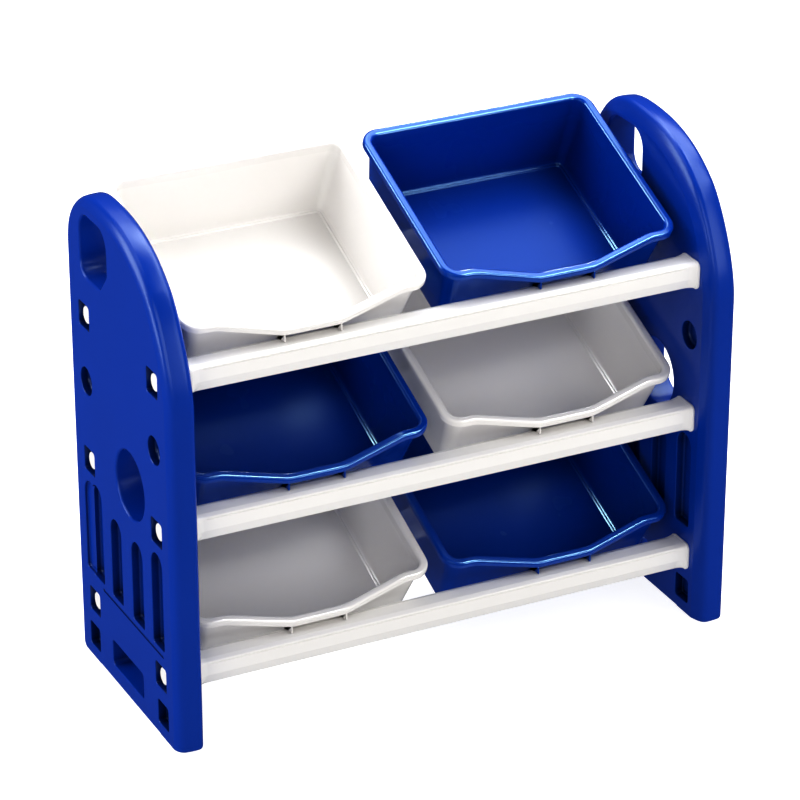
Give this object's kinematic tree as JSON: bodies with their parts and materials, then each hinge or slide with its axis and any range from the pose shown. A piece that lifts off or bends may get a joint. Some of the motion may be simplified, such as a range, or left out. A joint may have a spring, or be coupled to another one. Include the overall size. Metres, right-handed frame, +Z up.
{
  "type": "toy storage organizer with bins",
  "caption": "Free-standing children's organizer: moulded side panels joined by cross rails that carry tilted lift-out plastic bins in tiers.",
  "frame": {"origin": "on the floor, under the middle of the whole object's box", "axes": "+X to the right along the rails as seen from the front, +Y to the back, +Z up"},
  "size_m": [0.7226, 0.307, 0.6055],
  "materials": {
    "panel_plastic": "blue blow-moulded polyethylene, satin gloss",
    "rail_plastic": "white extruded-look plastic, satin gloss",
    "bolt_plastic": "white moulded plastic, gloss",
    "blue_bin_plastic": "blue injection-moulded polypropylene, satin gloss",
    "white_bin_plastic": "white injection-moulded polypropylene, satin gloss"
  },
  "bodies": {
    "frame": {"panel_left": "panel_plastic", "panel_right": "panel_plastic", "rail_top_front": "rail_plastic", "rail_top_rear": "rail_plastic", "rail_mid_front": "rail_plastic", "rail_mid_rear": "rail_plastic", "rail_bottom_front": "rail_plastic", "rail_bottom_rear": "rail_plastic", "bolts_left": "bolt_plastic", "bolts_right": "bolt_plastic"},
    "bin_top_left": {"bin_top_left": "white_bin_plastic"},
    "bin_top_right": {"bin_top_right": "blue_bin_plastic"},
    "bin_mid_left": {"bin_mid_left": "blue_bin_plastic"},
    "bin_mid_right": {"bin_mid_right": "white_bin_plastic"},
    "bin_bottom_left": {"bin_bottom_left": "white_bin_plastic"},
    "bin_bottom_right": {"bin_bottom_right": "blue_bin_plastic"}
  },
  "joints": [
    {"name": "bin_top_left_lift", "type": "slide", "parent": "frame", "child": "bin_top_left", "axis": [0, 0, 1], "range_m": [0, 0.2]},
    {"name": "bin_top_right_lift", "type": "slide", "parent": "frame", "child": "bin_top_right", "axis": [0, 0, 1], "range_m": [0, 0.2]},
    {"name": "bin_mid_left_tip", "type": "hinge", "parent": "frame", "child": "bin_mid_left", "pos_m": [0, 0.08309, 0.281], "axis": [-1, 0, 0], "range_deg": [0, 22]},
    {"name": "bin_mid_right_tip", "type": "hinge", "parent": "frame", "child": "bin_mid_right", "pos_m": [0, 0.08309, 0.281], "axis": [-1, 0, 0], "range_deg": [0, 22]},
    {"name": "bin_bottom_left_tip", "type": "hinge", "parent": "frame", "child": "bin_bottom_left", "pos_m": [0, 0.08309, 0.095], "axis": [-1, 0, 0], "range_deg": [0, 22]},
    {"name": "bin_bottom_right_tip", "type": "hinge", "parent": "frame", "child": "bin_bottom_right", "pos_m": [0, 0.08309, 0.095], "axis": [-1, 0, 0], "range_deg": [0, 22]}
  ]
}
